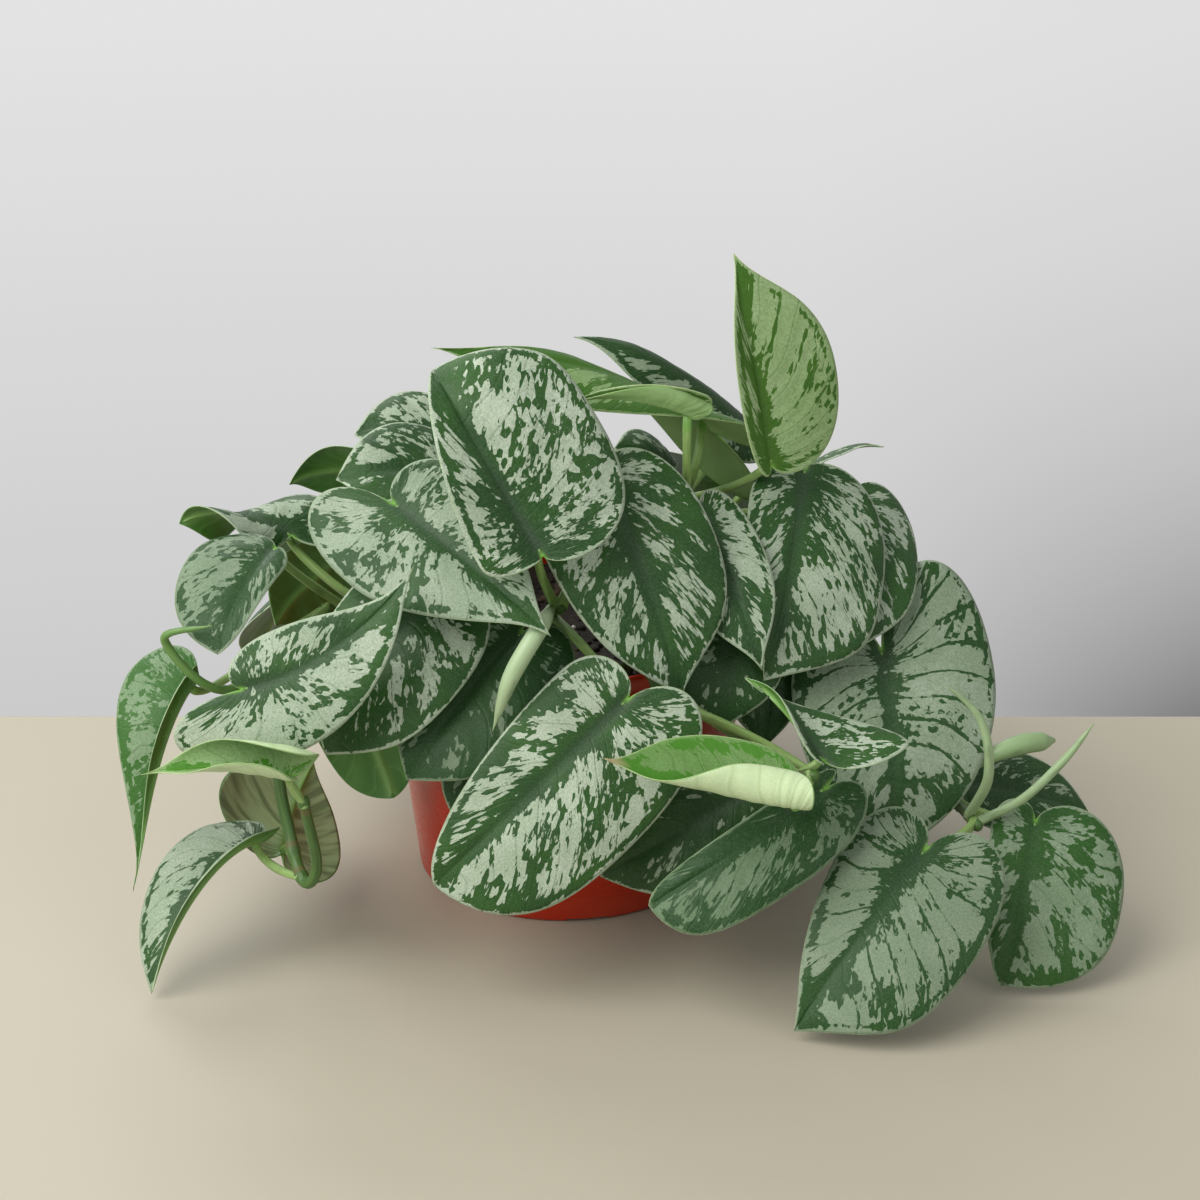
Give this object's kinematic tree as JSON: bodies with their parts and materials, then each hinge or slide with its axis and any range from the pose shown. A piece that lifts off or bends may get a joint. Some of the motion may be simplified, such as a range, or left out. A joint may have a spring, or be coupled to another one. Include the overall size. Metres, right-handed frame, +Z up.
{
  "type": "potted satin pothos",
  "caption": "Satin pothos with silver-blotched heart-shaped leaves on trailing stems, growing over the rim of a round plastic nursery pot.",
  "frame": {"origin": "centre of the pot's standing face", "axes": "+Z up out of the pot, -Y towards the viewer of the picture, +X to the right, along the plant's greatest spread"},
  "size_m": [0.3665, 0.2725, 0.2571],
  "materials": {
    "pot": "gloss",
    "soil": "matte",
    "stem": "satin",
    "leaf": "satin",
    "young_leaf": "satin"
  },
  "bodies": {
    "root": {"pot": "pot", "soil": "soil", "stem_crown": "stem", "stem_left_high": "stem", "stem_left_low": "stem", "stem_left_trail": "stem", "stem_front": "stem", "stem_front_right": "stem", "stem_right": "stem", "stem_right_trail": "stem", "stem_back_left": "stem", "stem_back_right": "stem", "leaf_front_big": "leaf", "leaf_front_centre": "leaf", "leaf_front_high": "leaf", "leaf_front_dark": "leaf", "leaf_front_under": "leaf", "leaf_curled": "young_leaf", "leaf_folded": "leaf", "leaf_low_front": "leaf", "leaf_low_near": "leaf", "leaf_hanging": "leaf", "leaf_inner": "leaf", "leaf_right_small": "leaf", "leaf_right_front": "leaf", "leaf_right_behind": "leaf", "leaf_right_large": "leaf", "leaf_trail_right_near": "leaf", "leaf_trail_right_far": "leaf", "leaf_trail_right_flat": "leaf", "leaf_left_mid": "leaf", "leaf_left_low": "leaf", "leaf_left_behind": "leaf", "leaf_left_top": "leaf", "leaf_left_hang": "leaf", "leaf_left_green": "leaf", "leaf_left_under": "leaf", "leaf_far_left": "leaf", "leaf_trail_left_rolled": "young_leaf", "leaf_trail_left_grey": "leaf", "leaf_trail_left_low": "leaf", "leaf_top_left_near": "leaf", "leaf_top_left_far": "leaf", "leaf_top_left_edge": "leaf", "leaf_crown_upright": "young_leaf", "leaf_crown_rolled": "young_leaf", "leaf_crown_long": "young_leaf", "leaf_crown_behind": "leaf", "leaf_crown_side": "leaf", "leaf_crown_inner": "leaf", "leaf_back_1": "leaf", "leaf_back_2": "leaf", "leaf_back_3": "leaf", "leaf_back_4": "leaf", "leaf_back_5": "leaf", "leaf_back_6": "leaf", "leaf_back_7": "leaf", "leaf_back_8": "leaf", "leaf_back_9": "leaf", "leaf_back_10": "leaf"}
  },
  "joints": []
}
